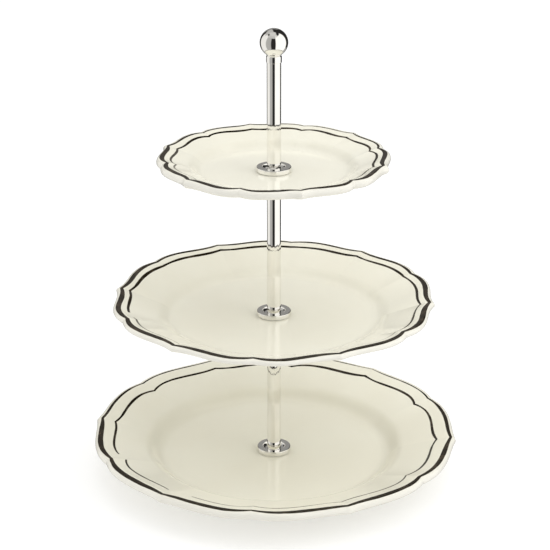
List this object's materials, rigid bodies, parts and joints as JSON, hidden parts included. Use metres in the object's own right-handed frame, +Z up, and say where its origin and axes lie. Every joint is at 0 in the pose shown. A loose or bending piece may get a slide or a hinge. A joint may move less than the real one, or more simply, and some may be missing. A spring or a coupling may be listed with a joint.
{
  "type": "tiered cake stand",
  "caption": "Tiered cake stand: scalloped, glazed plates with painted edge lines, held on a polished centre rod that unscrews tier by tier and ends in a ball knob.",
  "frame": {"origin": "centre of the bottom plate's foot ring, on the surface that the stand rests on", "axes": "+Z up along the rod, -Y towards the viewer, +X to the viewer's right"},
  "size_m": [0.2678, 0.2698, 0.3308],
  "materials": {
    "glazed_earthenware": "glossy ivory glaze with dark brown hand-painted lines near the edge",
    "polished_metal": "mirror-polished nickel",
    "fastener_steel": "plain bright steel",
    "clear_seal": "translucent soft plastic"
  },
  "bodies": {
    "base": {"base_screw": "fastener_steel", "base_washer": "fastener_steel", "base_gasket": "clear_seal", "bottom_plate": "glazed_earthenware", "bottom_collar_gasket": "clear_seal"},
    "lower_collar_body": {"bottom_collar": "polished_metal"},
    "lower_rod_body": {"lower_rod": "polished_metal", "lower_rod_bottom_nut": "fastener_steel", "lower_rod_top_nut": "fastener_steel", "lower_stud": "fastener_steel", "middle_support_washer": "fastener_steel"},
    "middle_plate_body": {"middle_plate": "glazed_earthenware", "middle_support_gasket": "clear_seal", "middle_collar_gasket": "clear_seal"},
    "middle_collar_body": {"middle_collar": "polished_metal"},
    "middle_rod_body": {"middle_rod": "polished_metal", "middle_rod_bottom_nut": "fastener_steel", "middle_rod_top_nut": "fastener_steel", "upper_stud": "fastener_steel", "top_support_washer": "fastener_steel"},
    "top_plate_body": {"top_plate": "glazed_earthenware", "top_support_gasket": "clear_seal", "top_collar_gasket": "clear_seal"},
    "top_collar_body": {"top_collar": "polished_metal"},
    "handle_body": {"handle_rod": "polished_metal", "handle_bottom_nut": "fastener_steel", "handle_top_nut": "fastener_steel", "knob_stud": "fastener_steel", "knob_ferrule": "polished_metal", "knob_ball": "polished_metal"}
  },
  "joints": [
    {"name": "lower_rod_turn", "type": "hinge", "parent": "base", "child": "lower_collar_body", "pos_m": [0, 0, 0.012], "axis": [0, 0, 1], "range_deg": [0, 2880]},
    {"name": "lower_rod_lift", "type": "slide", "parent": "lower_collar_body", "child": "lower_rod_body", "axis": [0, 0, 1], "range_m": [0, 0.008]},
    {"name": "middle_plate_turn", "type": "hinge", "parent": "lower_rod_body", "child": "middle_plate_body", "pos_m": [0, 0, 0.1196], "axis": [0, 0, 1], "continuous": true},
    {"name": "middle_rod_turn", "type": "hinge", "parent": "lower_rod_body", "child": "middle_collar_body", "pos_m": [0, 0, 0.1216], "axis": [0, 0, 1], "range_deg": [0, 2880]},
    {"name": "middle_rod_lift", "type": "slide", "parent": "middle_collar_body", "child": "middle_rod_body", "axis": [0, 0, 1], "range_m": [0, 0.008]},
    {"name": "top_plate_turn", "type": "hinge", "parent": "middle_rod_body", "child": "top_plate_body", "pos_m": [0, 0, 0.2287], "axis": [0, 0, 1], "continuous": true},
    {"name": "handle_turn", "type": "hinge", "parent": "middle_rod_body", "child": "top_collar_body", "pos_m": [0, 0, 0.2307], "axis": [0, 0, 1], "range_deg": [0, 2880]},
    {"name": "handle_lift", "type": "slide", "parent": "top_collar_body", "child": "handle_body", "axis": [0, 0, 1], "range_m": [0, 0.008]}
  ],
  "couplings": [
    {"joint": "lower_rod_turn", "follows": "lower_rod_lift", "rad_per_m": 6283.2},
    {"joint": "middle_rod_turn", "follows": "middle_rod_lift", "rad_per_m": 6283.2},
    {"joint": "handle_turn", "follows": "handle_lift", "rad_per_m": 6283.2}
  ]
}
